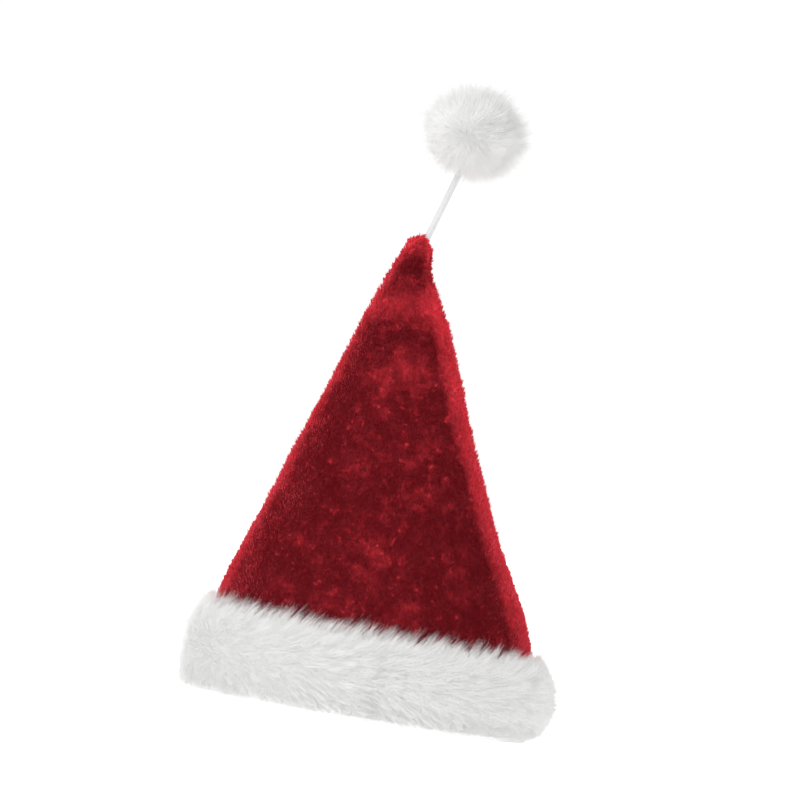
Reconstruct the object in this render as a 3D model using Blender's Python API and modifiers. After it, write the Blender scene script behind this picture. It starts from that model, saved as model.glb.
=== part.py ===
"""A red plush party hat with a deep white fur cuff and a white fur ball on a slim stem.

The hat stands on its cuff. The origin is the middle of the cuff's underside, +X is to the right
of somebody who looks at the hat's front, -Y is the front and +Z is up. All sizes are in metres.
A turn goes round the hat anticlockwise seen from above: 0 is its right side, -90 degrees its front.
"""

import math
from typing import NamedTuple

import bmesh
import bpy
import numpy as np
from mathutils import Matrix, Vector

CLEARANCE = 0.0003
SEED = 24

# The cone of plush cloth
CLOTH = 0.0028
CROWN_COLUMNS = 48
CROWN_LEVELS = 22
SQUARENESS = 2.25
LEVEL_BUNCHING = 1.35

# The fur cuff round the cone's edge
CUFF_COLUMNS = 88
CUFF_LIP = 0.0048
CUFF_TALLER_AT_LEFT = 0.08
CUFF_LOCK = 0.0056
CUFF_LOCK_SWEEP = 0.0052
CUFF_LOCK_RISE = 0.55
CUFF_LOCK_LEVEL = 0.75

# The stem, whose foot keeps it in the cone's tip
STEM_RADIUS = 0.0019
STEM_SIDES = 16
STEM_LEAN = math.radians(17.2)
STEM_EXIT = Vector((-0.0080, 0.0, 0.3350))
STEM_BELOW_EXIT = 0.0200
STEM_HOLE_BELOW_EXIT, STEM_HOLE_ABOVE_EXIT = 0.0100, 0.0060
STEM_FOOT_RADIUS = 0.0075
STEM_FOOT_THICKNESS = 0.0016

# The fur ball, whose middle is where the stem ends
BALL_FROM_EXIT = 0.0828
BALL_HALF_SIZE = Vector((0.0268, 0.0268, 0.0252))
BALL_LOCK = 0.0062
BALL_LOCK_SWEEP = 0.0026
BALL_SWIRL_AXIS = Vector((0.2, 0.5, 1.0))
BALL_LOCK_DROOP = Vector((0.0, 0.0, -0.6))
BALL_SUBDIVISIONS = 3
BALL_BARE_RADIUS = 0.0050

# How much the locks of fur differ in length and lean, as shares of the longest and the furthest
LOCK_LENGTHS = (0.78, 1.0)
LOCK_LEANS = (0.6, 1.0)
LOCK_ABOVE_FLOOR = 0.0006


class Section(NamedTuple):
    """The cone's outer face at one height.

    left and right are its ends seen from the front, depth is half its size from front to back, and
    slant is how far its right end dips below its middle.
    """

    height: float
    left: float
    right: float
    depth: float
    slant: float


SECTIONS = (
    Section(height=0.0051, left=-0.1140, right=0.1140, depth=0.0875, slant=0.0),
    Section(height=0.0400, left=-0.1140, right=0.1135, depth=0.0875, slant=0.0),
    Section(height=0.0700, left=-0.1126, right=0.1082, depth=0.0845, slant=0.0),
    Section(height=0.1050, left=-0.1018, right=0.0912, depth=0.0755, slant=0.0),
    Section(height=0.1400, left=-0.0891, right=0.0730, depth=0.0645, slant=0.0),
    Section(height=0.1750, left=-0.0778, right=0.0578, depth=0.0540, slant=0.0),
    Section(height=0.2100, left=-0.0654, right=0.0430, depth=0.0440, slant=0.0),
    Section(height=0.2450, left=-0.0536, right=0.0298, depth=0.0345, slant=0.0),
    Section(height=0.2750, left=-0.0438, right=0.0170, depth=0.0262, slant=0.0),
    Section(height=0.3000, left=-0.0350, right=0.0046, depth=0.0185, slant=0.0),
    Section(height=0.3130, left=-0.0294, right=-0.0002, depth=0.0146, slant=0.0006),
    Section(height=0.3250, left=-0.0238, right=-0.0018, depth=0.0112, slant=0.0016),
    Section(height=0.3320, left=-0.0205, right=-0.0035, depth=0.0082, slant=0.0024),
    Section(height=0.3345, left=-0.0165, right=-0.0065, depth=0.0048, slant=0.0014),
)


class Fold(NamedTuple):
    """A soft ridge or hollow of the cone's cloth: its middle, its spread each way, and its lift outwards.

    The turns are in degrees, the rest in metres.
    """

    turn: float
    height: float
    turn_spread: float
    height_spread: float
    lift: float


FOLDS = (
    Fold(turn=-37, height=0.190, turn_spread=9, height_spread=0.110, lift=0.0030),
    Fold(turn=-64, height=0.190, turn_spread=15, height_spread=0.100, lift=-0.0026),
    Fold(turn=-13, height=0.150, turn_spread=9, height_spread=0.080, lift=-0.0016),
    Fold(turn=-21, height=0.082, turn_spread=6, height_spread=0.016, lift=0.0026),
    Fold(turn=-85, height=0.306, turn_spread=38, height_spread=0.008, lift=-0.0016),
    Fold(turn=-78, height=0.286, turn_spread=34, height_spread=0.009, lift=0.0014),
    Fold(turn=-96, height=0.262, turn_spread=36, height_spread=0.011, lift=-0.0018),
    Fold(turn=-92, height=0.236, turn_spread=30, height_spread=0.013, lift=0.0012),
    Fold(turn=-105, height=0.115, turn_spread=20, height_spread=0.035, lift=-0.0020),
    Fold(turn=-150, height=0.150, turn_spread=11, height_spread=0.090, lift=-0.0014),
    Fold(turn=70, height=0.190, turn_spread=26, height_spread=0.050, lift=-0.0034),
    Fold(turn=112, height=0.110, turn_spread=15, height_spread=0.030, lift=0.0020),
    Fold(turn=96, height=0.275, turn_spread=40, height_spread=0.012, lift=-0.0018),
)


class CuffPoint(NamedTuple):
    """A point of the cuff's section: how far it is out from the cone's cloth and up from the floor."""

    out: float
    up: float


# Counted round the section from the inner edge of the flat underside. Fur grows from FUR_FROM to FUR_TO.
CUFF_SECTION = (
    CuffPoint(out=-CLOTH, up=0.0),
    CuffPoint(out=0.0040, up=0.0),
    CuffPoint(out=0.0098, up=0.0),
    CuffPoint(out=0.0126, up=0.0070),
    CuffPoint(out=0.0132, up=0.0155),
    CuffPoint(out=0.0134, up=0.0245),
    CuffPoint(out=0.0132, up=0.0335),
    CuffPoint(out=0.0124, up=0.0425),
    CuffPoint(out=0.0102, up=0.0510),
    CuffPoint(out=0.0066, up=0.0575),
    CuffPoint(out=0.0024, up=0.0615),
    CuffPoint(out=0.0012, up=0.0560),
    CuffPoint(out=0.0006, up=0.0330),
    CuffPoint(out=CLEARANCE, up=CUFF_LIP),
    CuffPoint(out=-CLOTH, up=CUFF_LIP),
)
FUR_FROM, FUR_TO = 2, 10


class Finish(NamedTuple):
    """A material's colour, in linear light, and its roughness."""

    name: str
    colour: tuple[float, float, float]
    roughness: float


RED_PLUSH = Finish("red_plush", (0.30, 0.012, 0.020), 0.95)
WHITE_FUR = Finish("white_fur", (0.80, 0.80, 0.78), 0.95)
WHITE_PLASTIC = Finish("white_plastic", (0.78, 0.78, 0.77), 0.35)


def clear_scene():
    """Removes what the file holds, so that only the hat is in it."""
    for thing in list(bpy.data.objects):
        bpy.data.objects.remove(thing)


def make_collection(name):
    """A new collection in the scene."""
    collection = bpy.data.collections.new(name)
    bpy.context.scene.collection.children.link(collection)
    return collection


def make_material(finish):
    """A Principled material of this finish."""
    material = bpy.data.materials.new(finish.name)
    material.use_nodes = True
    shader = material.node_tree.nodes["Principled BSDF"]
    shader.inputs["Base Color"].default_value = (*finish.colour, 1.0)
    shader.inputs["Roughness"].default_value = finish.roughness
    shader.inputs["Metallic"].default_value = 0.0
    return material


def make_object(name, bm, collection, finish=None, smooth=False):
    """An object that holds what bm holds."""
    mesh = bpy.data.meshes.new(name)
    bmesh.ops.recalc_face_normals(bm, faces=bm.faces)
    bm.to_mesh(mesh)
    bm.free()
    if smooth:
        mesh.shade_smooth()
    thing = bpy.data.objects.new(name, mesh)
    if finish:
        mesh.materials.append(make_material(finish))
    collection.objects.link(thing)
    return thing


def smooth_row(rows, height):
    """The row at this height on a smooth curve through the rows, whose first column is the height."""
    table = np.array(rows)
    levels = table[:, 0]
    height = float(np.clip(height, levels[0], levels[-1]))
    slopes = np.gradient(table, levels, axis=0)
    i = int(np.clip(np.searchsorted(levels, height) - 1, 0, len(levels) - 2))
    span = levels[i + 1] - levels[i]
    t = (height - levels[i]) / span
    start, end = 2 * t**3 - 3 * t**2 + 1, 3 * t**2 - 2 * t**3
    leave, arrive = (t**3 - 2 * t**2 + t) * span, (t**3 - t**2) * span
    mixed = start * table[i] + end * table[i + 1] + leave * slopes[i] + arrive * slopes[i + 1]
    return type(rows[0])(*mixed)


def fold_lift(turn, height):
    """How far the folds lift the cloth outwards here."""
    lift = 0.0
    for fold in FOLDS:
        off_turn = math.remainder(math.degrees(turn) - fold.turn, 360) / fold.turn_spread
        off_height = (height - fold.height) / fold.height_spread
        lift += fold.lift * math.exp(-0.5 * (off_turn**2 + off_height**2))
    return lift


def signed_power(value, power):
    """value to this power, with its sign kept."""
    return math.copysign(abs(value) ** power, value)


def crown_point(turn, height, out=0.0):
    """A point of the cone's outer face, moved outwards by out.

    The cone's level section is an oval with slightly flattened sides, because the hat is stored flat.
    """
    section = smooth_row(SECTIONS, height)
    half_width = (section.right - section.left) / 2
    across = signed_power(math.cos(turn), 2 / SQUARENESS)
    back = signed_power(math.sin(turn), 2 / SQUARENESS)
    outward = Vector(
        (
            signed_power(across, SQUARENESS - 1) / half_width,
            signed_power(back, SQUARENESS - 1) / section.depth,
            0.0,
        )
    ).normalized()
    middle = (section.left + section.right) / 2
    on_face = Vector(
        (
            middle + half_width * across,
            section.depth * back,
            section.height - section.slant * across,
        )
    )
    return on_face + outward * (out + fold_lift(turn, height))


def turns(columns):
    """Evenly spaced turns, one for each column."""
    return [2 * math.pi * i / columns for i in range(columns)]


def loft(bm, rings, closed):
    """Faces between each ring of points and the next, and from the last to the first if closed.

    It returns a list of faces for each gap between rings, and the rings' vertices.
    """
    made = [[bm.verts.new(point) for point in ring] for ring in rings]
    if closed:
        made.append(made[0])
    strips = []
    for lower, upper in zip(made, made[1:]):
        count = len(lower)
        strips.append(
            [
                bm.faces.new((lower[i], lower[(i + 1) % count], upper[(i + 1) % count], upper[i]))
                for i in range(count)
            ]
        )
    return strips, made


def raise_locks(bm, faces, length, sweep, lie):
    """Turns each face into a lock of fur, a leaning point over the face, and returns the points.

    length is the locks' height, sweep is how far they lean along lie(point, outward).
    """
    chance = np.random.default_rng(SEED)
    tips = bmesh.ops.poke(bm, faces=faces, offset=0.0, center_mode="MEAN")["verts"]
    bm.normal_update()
    for tip in tips:
        outward = tip.normal.copy()
        reach = length * chance.uniform(*LOCK_LENGTHS)
        lean = sweep * chance.uniform(*LOCK_LEANS)
        tip.co += outward * reach + lie(tip.co, outward) * lean
    return tips


def stem_place(along=0.0):
    """The matrix that stands a shape on the stem's line, this far above where it leaves the tip."""
    turn = Matrix.Rotation(STEM_LEAN, 4, "Y")
    return Matrix.Translation(STEM_EXIT + turn @ Vector((0.0, 0.0, along))) @ turn


def stem_cutter(name, low, high, cutters):
    """A cutter for the stem's hole from low to high along its line, with the stem's clearance."""
    bm = bmesh.new()
    bmesh.ops.create_cone(
        bm,
        cap_ends=True,
        segments=STEM_SIDES,
        radius1=STEM_RADIUS + CLEARANCE,
        radius2=STEM_RADIUS + CLEARANCE,
        depth=high - low,
    )
    cutter = make_object(name, bm, cutters)
    cutter.matrix_world = stem_place((low + high) / 2)
    cutter.hide_render = True
    cutter.display_type = "WIRE"
    return cutter


def cut(thing, cutter):
    """Cuts the cutter's shape out of thing."""
    difference = thing.modifiers.new("stem_hole", "BOOLEAN")
    difference.operation = "DIFFERENCE"
    difference.object = cutter


def build_crown(parts, cutters):
    """The cone of plush cloth, open below, with a hole at its tip for the stem."""
    low, high = SECTIONS[0].height, SECTIONS[-1].height
    rises = [1 - (1 - i / CROWN_LEVELS) ** LEVEL_BUNCHING for i in range(CROWN_LEVELS + 1)]
    rings = [
        [crown_point(turn, low + (high - low) * rise) for turn in turns(CROWN_COLUMNS)]
        for rise in rises
    ]
    bm = bmesh.new()
    _, made = loft(bm, rings, closed=False)
    bm.faces.new(made[-1])
    crown = make_object("crown", bm, parts, RED_PLUSH, smooth=True)
    cloth = crown.modifiers.new("cloth", "SOLIDIFY")
    cloth.thickness = CLOTH
    cloth.offset = -1.0
    cutter = stem_cutter("crown_stem_hole", -STEM_HOLE_BELOW_EXIT, STEM_HOLE_ABOVE_EXIT, cutters)
    cut(crown, cutter)
    return crown


def cuff_lie(point, outward):
    """The way the cuff's fur lies: to the right at the front, rising at the top and dropping below."""
    round_hat = Vector((0.0, 0.0, 1.0)).cross(outward).normalized()
    half_height = CUFF_SECTION[FUR_TO].up / 2
    rise = CUFF_LOCK_RISE * (point.z / half_height - CUFF_LOCK_LEVEL)
    return (round_hat + Vector((0.0, 0.0, rise))).normalized()


def build_cuff(parts):
    """The fur cuff: a band with a flat underside, a lip under the cone's edge, and locks of fur outside."""
    rings = []
    for point in CUFF_SECTION:
        ring = []
        for turn in turns(CUFF_COLUMNS):
            taller = 1.0 - CUFF_TALLER_AT_LEFT * math.cos(turn)
            up = CUFF_LIP + (point.up - CUFF_LIP) * taller if point.up > CUFF_LIP else point.up
            place = crown_point(turn, max(up, SECTIONS[0].height), point.out)
            ring.append(Vector((place.x, place.y, up)))
        rings.append(ring)
    bm = bmesh.new()
    strips, _ = loft(bm, rings, closed=True)
    bmesh.ops.recalc_face_normals(bm, faces=bm.faces)
    furred = [face for strip in strips[FUR_FROM:FUR_TO] for face in strip]
    for tip in raise_locks(bm, furred, CUFF_LOCK, CUFF_LOCK_SWEEP, cuff_lie):
        tip.co.z = max(tip.co.z, LOCK_ABOVE_FLOOR)
    return make_object("cuff", bm, parts, WHITE_FUR)


def build_stem(parts):
    """The slim stem, with a round foot that stays inside the cone's tip."""
    low = -STEM_BELOW_EXIT
    profile = (
        (0.0, BALL_FROM_EXIT),
        (STEM_RADIUS, BALL_FROM_EXIT),
        (STEM_RADIUS, low + STEM_FOOT_THICKNESS),
        (STEM_FOOT_RADIUS, low + STEM_FOOT_THICKNESS),
        (STEM_FOOT_RADIUS, low),
        (0.0, low),
    )
    mesh = bpy.data.meshes.new("stem")
    edges = [(i, i + 1) for i in range(len(profile) - 1)]
    mesh.from_pydata([(radius, 0.0, height) for radius, height in profile], edges, [])
    mesh.materials.append(make_material(WHITE_PLASTIC))
    stem = bpy.data.objects.new("stem", mesh)
    parts.objects.link(stem)
    stem.matrix_world = stem_place()
    turned = stem.modifiers.new("turned", "SCREW")
    turned.steps = STEM_SIDES
    turned.render_steps = STEM_SIDES
    turned.use_merge_vertices = True
    turned.merge_threshold = 0.00001
    return stem


def ball_lie(point, outward):
    """The way the ball's fur lies: a little round the ball and down, as its weight draws it."""
    round_ball = BALL_SWIRL_AXIS.cross(outward)
    down = BALL_LOCK_DROOP - outward * BALL_LOCK_DROOP.dot(outward)
    return round_ball + down


def build_ball(parts, cutters):
    """The fur ball: a head with locks all over, bored for the stem from below."""
    bm = bmesh.new()
    bmesh.ops.create_icosphere(bm, subdivisions=BALL_SUBDIVISIONS, radius=1.0)
    bmesh.ops.scale(bm, vec=BALL_HALF_SIZE, verts=bm.verts)
    furred = []
    for face in bm.faces:
        middle = face.calc_center_median()
        by_the_bore = middle.z < 0 and math.hypot(middle.x, middle.y) < BALL_BARE_RADIUS
        if not by_the_bore:
            furred.append(face)
    raise_locks(bm, furred, BALL_LOCK, BALL_LOCK_SWEEP, ball_lie)
    ball = make_object("pompom", bm, parts, WHITE_FUR)
    ball.matrix_world = stem_place(BALL_FROM_EXIT)
    below_ball = BALL_FROM_EXIT - 2 * BALL_HALF_SIZE.z
    cut(ball, stem_cutter("ball_stem_hole", below_ball, BALL_FROM_EXIT + CLEARANCE, cutters))
    return ball


def main():
    """Builds the hat."""
    clear_scene()
    parts = make_collection("santa_hat")
    cutters = make_collection("cutters")
    build_crown(parts, cutters)
    build_cuff(parts)
    build_stem(parts)
    build_ball(parts, cutters)


main()
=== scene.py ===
"""A red plush hat with a long white fur cuff and a white fur ball on a slim stem.

The hat stands on its cuff on a white floor. It is made in metres, with the origin in the middle of
the cuff's underside, +X to the right of somebody who looks at its front, -Y the front and +Z up. A
turn goes round the hat anticlockwise seen from above: 0 is its right side, -90 degrees its front.
"""

import logging
import math
from dataclasses import dataclass
from enum import Enum

import bpy
import numpy as np
from mathutils import Matrix, Vector, noise

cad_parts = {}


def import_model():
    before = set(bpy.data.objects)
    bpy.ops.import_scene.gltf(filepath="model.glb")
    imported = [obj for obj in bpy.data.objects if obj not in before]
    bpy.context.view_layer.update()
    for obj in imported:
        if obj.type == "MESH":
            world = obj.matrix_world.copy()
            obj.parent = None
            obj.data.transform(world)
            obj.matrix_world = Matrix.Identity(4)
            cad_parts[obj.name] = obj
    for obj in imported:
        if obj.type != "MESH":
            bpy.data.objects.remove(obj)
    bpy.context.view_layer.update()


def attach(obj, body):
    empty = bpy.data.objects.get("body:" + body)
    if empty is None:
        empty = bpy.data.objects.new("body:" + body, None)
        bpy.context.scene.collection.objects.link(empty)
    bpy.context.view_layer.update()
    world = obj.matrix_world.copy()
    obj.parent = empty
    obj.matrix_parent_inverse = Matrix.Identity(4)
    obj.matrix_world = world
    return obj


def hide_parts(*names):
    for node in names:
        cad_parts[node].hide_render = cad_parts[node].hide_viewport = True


LOG = logging.getLogger("hat")
MM = 0.001
FLOOR_GAP = 0.4 * MM
FLOOR_EASE = 4.0 * MM

LIE = "lie"
FUR_LENGTH = "fur_length"
FUR_DENSITY = "fur_density"
FUR_LIFT = "fur_lift"
FUR_TUFT = "fur_tuft"
ALONG = "along"
TONE = "tone"
# painted highlight and shade on the red nap, with some real crush of the nap, kept on each wall point
NAP_PRESS_AND_PAINTED_LIGHT = "nap_press_and_painted_light"

Socket = bpy.types.NodeSocket
Value = Socket | float | int | tuple


class Wiring:
    """Adds nodes to a tree and joins them, so that a tree reads as a formula."""

    def __init__(self, tree: bpy.types.NodeTree) -> None:
        """Starts on a tree.

        Args:
            tree: the shader or geometry tree that gets the nodes.
        """
        self.tree = tree
        self.maths = "ShaderNodeMath"
        self.vectors = "ShaderNodeVectorMath"

    def node(self, kind: str, inputs: dict[str | int, Value] | None = None, **settings: object) -> bpy.types.Node:
        """Adds a node.

        Args:
            kind: the node's type.
            inputs: what feeds its inputs, by name or place: a socket or a plain value.
            settings: its own settings, such as operation.

        Returns:
            The node.
        """
        made = self.tree.nodes.new(kind)
        for name, value in settings.items():
            setattr(made, name, value)
        for name, value in (inputs or {}).items():
            self.feed(made.inputs[name], value)
        return made

    def feed(self, socket: Socket, value: Value) -> None:
        """Links a socket to another, or sets its value.

        Args:
            socket: the input.
            value: the output that feeds it, or a plain value.
        """
        if isinstance(value, Socket):
            self.tree.links.new(value, socket)
        else:
            socket.default_value = value

    def math(self, operation: str, a: Value, b: Value = 0.0, c: Value = 0.0) -> Socket:
        """The result of a Math node on up to three numbers."""
        return self.node(self.maths, {0: a, 1: b, 2: c}, operation=operation).outputs[0]

    def vector(self, operation: str, a: Value, b: Value = (0.0, 0.0, 0.0)) -> Socket:
        """The vector that a Vector Math node gives for two vectors."""
        return self.node(self.vectors, {0: a, 1: b}, operation=operation).outputs["Vector"]

    def scaled(self, vector: Value, factor: Value) -> Socket:
        """A vector times a number."""
        made = self.node(self.vectors, {0: vector, "Scale": factor}, operation="SCALE")
        return made.outputs["Vector"]

    def dot(self, a: Value, b: Value) -> Socket:
        """The dot product of two vectors."""
        made = self.node(self.vectors, {0: a, 1: b}, operation="DOT_PRODUCT")
        return made.outputs["Value"]

    def level(self, vector: Socket, up: Socket) -> Socket:
        """What is left of a vector without its share along up."""
        return self.vector("SUBTRACT", vector, self.scaled(up, self.dot(vector, up)))

    def smooth_step(self, value: Socket, low: float, high: float, to_low: float, to_high: float) -> Socket:
        """A value mapped smoothly from one range to another.

        Args:
            value: what is mapped.
            low: where the range starts.
            high: where it ends.
            to_low: the result at and below low.
            to_high: the result at and above high.

        Returns:
            The mapped value.
        """
        ranges = {"Value": value, "From Min": low, "From Max": high, "To Min": to_low, "To Max": to_high}
        made = self.node("ShaderNodeMapRange", ranges, interpolation_type="SMOOTHSTEP")
        return made.outputs["Result"]


class FurWiring(Wiring):
    """The wiring of a geometry tree, with the fields that strands need."""

    def read(self, name: str, kind: str = "FLOAT") -> Socket:
        """A named attribute of the geometry, of this kind."""
        made = self.node("GeometryNodeInputNamedAttribute", {"Name": name}, data_type=kind)
        return made.outputs["Attribute"]

    def stored(self, geometry: Socket, name: str, value: Socket, kind: str = "FLOAT") -> Socket:
        """The geometry with a field kept on its points under a name.

        Args:
            geometry: the geometry that keeps it.
            name: the attribute's name.
            value: the field.
            kind: FLOAT or FLOAT_VECTOR.

        Returns:
            The geometry.
        """
        inputs = {"Geometry": geometry, "Name": name, "Value": value}
        made = self.node("GeometryNodeStoreNamedAttribute", inputs, data_type=kind, domain="POINT")
        return made.outputs["Geometry"]

    def chance(self, low: Value, high: Value, seed: int) -> Socket:
        """A random number for each point, from low to high."""
        made = self.node("FunctionNodeRandomValue", {2: low, 3: high, "Seed": seed}, data_type="FLOAT")
        return made.outputs[1]

    def chance_vector(self, seed: int) -> Socket:
        """A random vector for each point, from -1 to 1 each way."""
        inputs = {0: (-1.0, -1.0, -1.0), 1: (1.0, 1.0, 1.0), "Seed": seed}
        made = self.node("FunctionNodeRandomValue", inputs, data_type="FLOAT_VECTOR")
        return made.outputs[0]


@dataclass(frozen=True)
class Strands:
    """How a field of fur or nap grows: sizes in metres, angles in radians above the skin."""

    count: int
    length: float
    length_spread: float
    width: float
    segments: int
    root_lift: float
    tip_lift: float
    lift_spread: float
    yaw_spread: float
    wave_size: float
    wave_turn: float
    tuft_size: float
    tuft_pull: float
    tuft_sway: float
    tuft_spread: float
    stray: float
    wild_lift: float
    roll: float
    cut_share: float
    own_normal: float
    seed: int
    scatter: float = 0.0

    NUMBERS = (
        ("Density", 0.0),
        ("Length", 0.01),
        ("Length Spread", 0.0),
        ("Width", 0.0003),
        ("Root Lift", 1.0),
        ("Tip Lift", 0.2),
        ("Lift Spread", 0.0),
        ("Yaw Spread", 0.0),
        ("Wave Size", 0.03),
        ("Wave Turn", 0.0),
        ("Tuft Size", 0.006),
        ("Tuft Pull", 0.0),
        ("Tuft Sway", 0.0),
        ("Tuft Spread", 0.0),
        ("Stray", 0.0),
        ("Wild Lift", 0.0),
        ("Roll", 0.0),
        ("Cut Share", 0.0),
        ("Scatter", 0.0),
        ("Floor Gap", 0.0004),
        ("Floor Ease", 0.007),
    )

    def grow(self, skin: bpy.types.Object, name: str, material: bpy.types.Material) -> bpy.types.Object:
        """Grows the strands on a skin.

        Args:
            skin: the object whose faces they grow on, with its lie, length and density attributes.
            name: the new object's name.
            material: the strands' material.

        Returns:
            A plain mesh object that holds the strands alone.
        """
        tree = self.tree(material)
        modifier = skin.modifiers.new(name, "NODES")
        modifier.node_group = tree
        sizes = {
            "Density": self.count / self.furred_area(skin.data),
            "Length": self.length,
            "Length Spread": self.length_spread,
            "Width": self.width,
            "Root Lift": self.root_lift,
            "Tip Lift": self.tip_lift,
            "Lift Spread": self.lift_spread,
            "Yaw Spread": self.yaw_spread,
            "Wave Size": self.wave_size,
            "Wave Turn": self.wave_turn,
            "Tuft Size": self.tuft_size,
            "Tuft Pull": self.tuft_pull,
            "Tuft Sway": self.tuft_sway,
            "Tuft Spread": self.tuft_spread,
            "Stray": self.stray,
            "Wild Lift": self.wild_lift,
            "Roll": self.roll,
            "Cut Share": self.cut_share,
            "Scatter": self.scatter,
            "Floor Gap": FLOOR_GAP,
            "Floor Ease": FLOOR_EASE,
        }
        for item in tree.interface.items_tree:
            if item.item_type == "SOCKET" and item.name in sizes:
                modifier[item.identifier] = sizes[item.name]
        graph = bpy.context.evaluated_depsgraph_get()
        mesh = bpy.data.meshes.new_from_object(skin.evaluated_get(graph))
        mesh.name = name
        skin.modifiers.remove(modifier)
        if self.own_normal < 1:
            self.soften_shading(mesh)
        own = ("strand_", "fur_", LIE)
        for attribute in [a.name for a in mesh.attributes if a.name.startswith(own)]:
            mesh.attributes.remove(mesh.attributes[attribute])
        fur = bpy.data.objects.new(name, mesh)
        bpy.context.scene.collection.objects.link(fur)
        return fur

    def soften_shading(self, mesh: bpy.types.Mesh) -> None:
        """Turns the strands' normals towards the skin's, so that the pile shades as one soft surface."""
        up = np.empty(len(mesh.vertices) * 3)
        mesh.attributes["strand_up"].data.foreach_get("vector", up)
        own = np.empty(len(mesh.vertices) * 3)
        mesh.vertices.foreach_get("normal", own)
        soft = up.reshape(-1, 3) * (1 - self.own_normal) + own.reshape(-1, 3) * self.own_normal
        soft /= np.linalg.norm(soft, axis=1)[:, None]
        mesh.normals_split_custom_set_from_vertices(soft)

    def furred_area(self, mesh: bpy.types.Mesh) -> float:
        """The skin's area times its mean density, in square metres."""
        density = np.empty(len(mesh.vertices))
        mesh.attributes[FUR_DENSITY].data.foreach_get("value", density)
        return sum(face.area * density[list(face.vertices)].mean() for face in mesh.polygons)

    def tree(self, material: bpy.types.Material) -> bpy.types.GeometryNodeTree:
        """The geometry tree that grows the strands.

        Args:
            material: the material that it sets.

        Returns:
            The tree, with a named input for each size.
        """
        tree = bpy.data.node_groups.new("strands", "GeometryNodeTree")
        tree.interface.new_socket("Geometry", in_out="INPUT", socket_type="NodeSocketGeometry")
        for name, value in self.NUMBERS:
            socket = tree.interface.new_socket(name, in_out="INPUT", socket_type="NodeSocketFloat")
            socket.default_value = value
        tree.interface.new_socket("Geometry", in_out="OUTPUT", socket_type="NodeSocketGeometry")
        wiring = FurWiring(tree)
        sizes = wiring.node("NodeGroupInput").outputs
        roots = self.rooted(wiring, sizes)
        strand = self.template(wiring)
        placed = wiring.node("GeometryNodeInstanceOnPoints", {"Points": roots, "Instance": strand})
        real = wiring.node("GeometryNodeRealizeInstances", {"Geometry": placed.outputs["Instances"]})
        shaped = wiring.node(
            "GeometryNodeSetPosition",
            {"Geometry": real.outputs["Geometry"], "Position": self.shape(wiring, sizes)},
        )
        marked = wiring.stored(shaped.outputs["Geometry"], ALONG, self.along(wiring))
        smooth = wiring.node("GeometryNodeSetShadeSmooth", {"Geometry": marked})
        dressed = wiring.node("GeometryNodeSetMaterial", {"Geometry": smooth.outputs["Geometry"]})
        dressed.inputs["Material"].default_value = material
        wiring.node("NodeGroupOutput", {"Geometry": dressed.outputs["Geometry"]})
        return tree

    def rooted(self, wiring: FurWiring, sizes: bpy.types.NodeOutputs) -> Socket:
        """The strands' roots, as points that hold all that shapes each strand.

        Args:
            wiring: the tree's wiring.
            sizes: the tree's inputs.

        Returns:
            The points.
        """
        skin = {
            "Mesh": sizes["Geometry"],
            "Density": wiring.math("MULTIPLY", sizes["Density"], wiring.read(FUR_DENSITY)),
            "Seed": self.seed,
        }
        roots = wiring.node("GeometryNodeDistributePointsOnFaces", skin, distribute_method="RANDOM")
        up = roots.outputs["Normal"]
        root = wiring.node("GeometryNodeInputPosition").outputs["Position"]
        wave = wiring.node(
            "ShaderNodeTexNoise",
            {"Vector": root, "Scale": wiring.math("DIVIDE", 1.0, sizes["Wave Size"]), "Detail": 1.0},
        ).outputs["Fac"]
        wave_turn = wiring.math("MULTIPLY", wiring.math("SUBTRACT", wave, 0.5), sizes["Wave Turn"])
        own_turn = wiring.math("MULTIPLY", wiring.chance(-1.0, 1.0, self.seed + 1), sizes["Yaw Spread"])
        yaw = wiring.math("ADD", wave_turn, own_turn)
        loose = wiring.scaled(wiring.chance_vector(self.seed + 9), sizes["Scatter"])
        guide = wiring.vector("ADD", wiring.read(LIE, "FLOAT_VECTOR"), loose)
        flat = wiring.vector("NORMALIZE", wiring.level(guide, up))
        side = wiring.vector("CROSS_PRODUCT", up, flat)
        lie = wiring.vector(
            "ADD",
            wiring.scaled(flat, wiring.math("COSINE", yaw)),
            wiring.scaled(side, wiring.math("SINE", yaw)),
        )
        shortest = wiring.math("SUBTRACT", 1.0, sizes["Length Spread"])
        tuft = wiring.node(
            "ShaderNodeTexVoronoi",
            {"Vector": root, "Scale": wiring.math("DIVIDE", 1.0, sizes["Tuft Size"])},
            feature="F1",
        )
        centred = wiring.vector("SUBTRACT", tuft.outputs["Color"], (0.5, 0.5, 0.5))
        change = wiring.node("ShaderNodeSeparateXYZ", {"Vector": centred}).outputs["Z"]
        longer = wiring.math("ADD", 1.0, wiring.math("MULTIPLY", change, sizes["Tuft Spread"]))
        length = wiring.math(
            "MULTIPLY",
            wiring.math("MULTIPLY", wiring.math("MULTIPLY", sizes["Length"], wiring.read(FUR_LENGTH)), longer),
            wiring.chance(shortest, 1.0, self.seed + 2),
        )
        pull = wiring.level(wiring.vector("SUBTRACT", tuft.outputs["Position"], root), up)
        pulled = wiring.scaled(pull, wiring.math("MULTIPLY", sizes["Tuft Pull"], wiring.read(FUR_TUFT)))
        own = wiring.scaled(wiring.chance_vector(self.seed + 3), wiring.math("MULTIPLY", length, sizes["Stray"]))
        swayed = wiring.scaled(centred, wiring.math("MULTIPLY", length, sizes["Tuft Sway"]))
        sway = wiring.vector("ADD", pulled, wiring.vector("ADD", swayed, own))
        wildness = wiring.math("POWER", wiring.chance(0.0, 1.0, self.seed + 7), 8.0)
        lift_above = wiring.math(
            "ADD", wiring.read(FUR_LIFT), wiring.math("MULTIPLY", wildness, sizes["Wild Lift"])
        )
        lift_change = wiring.math(
            "ADD",
            lift_above,
            wiring.math("MULTIPLY", wiring.chance(-1.0, 1.0, self.seed + 4), sizes["Lift Spread"]),
        )
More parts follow.
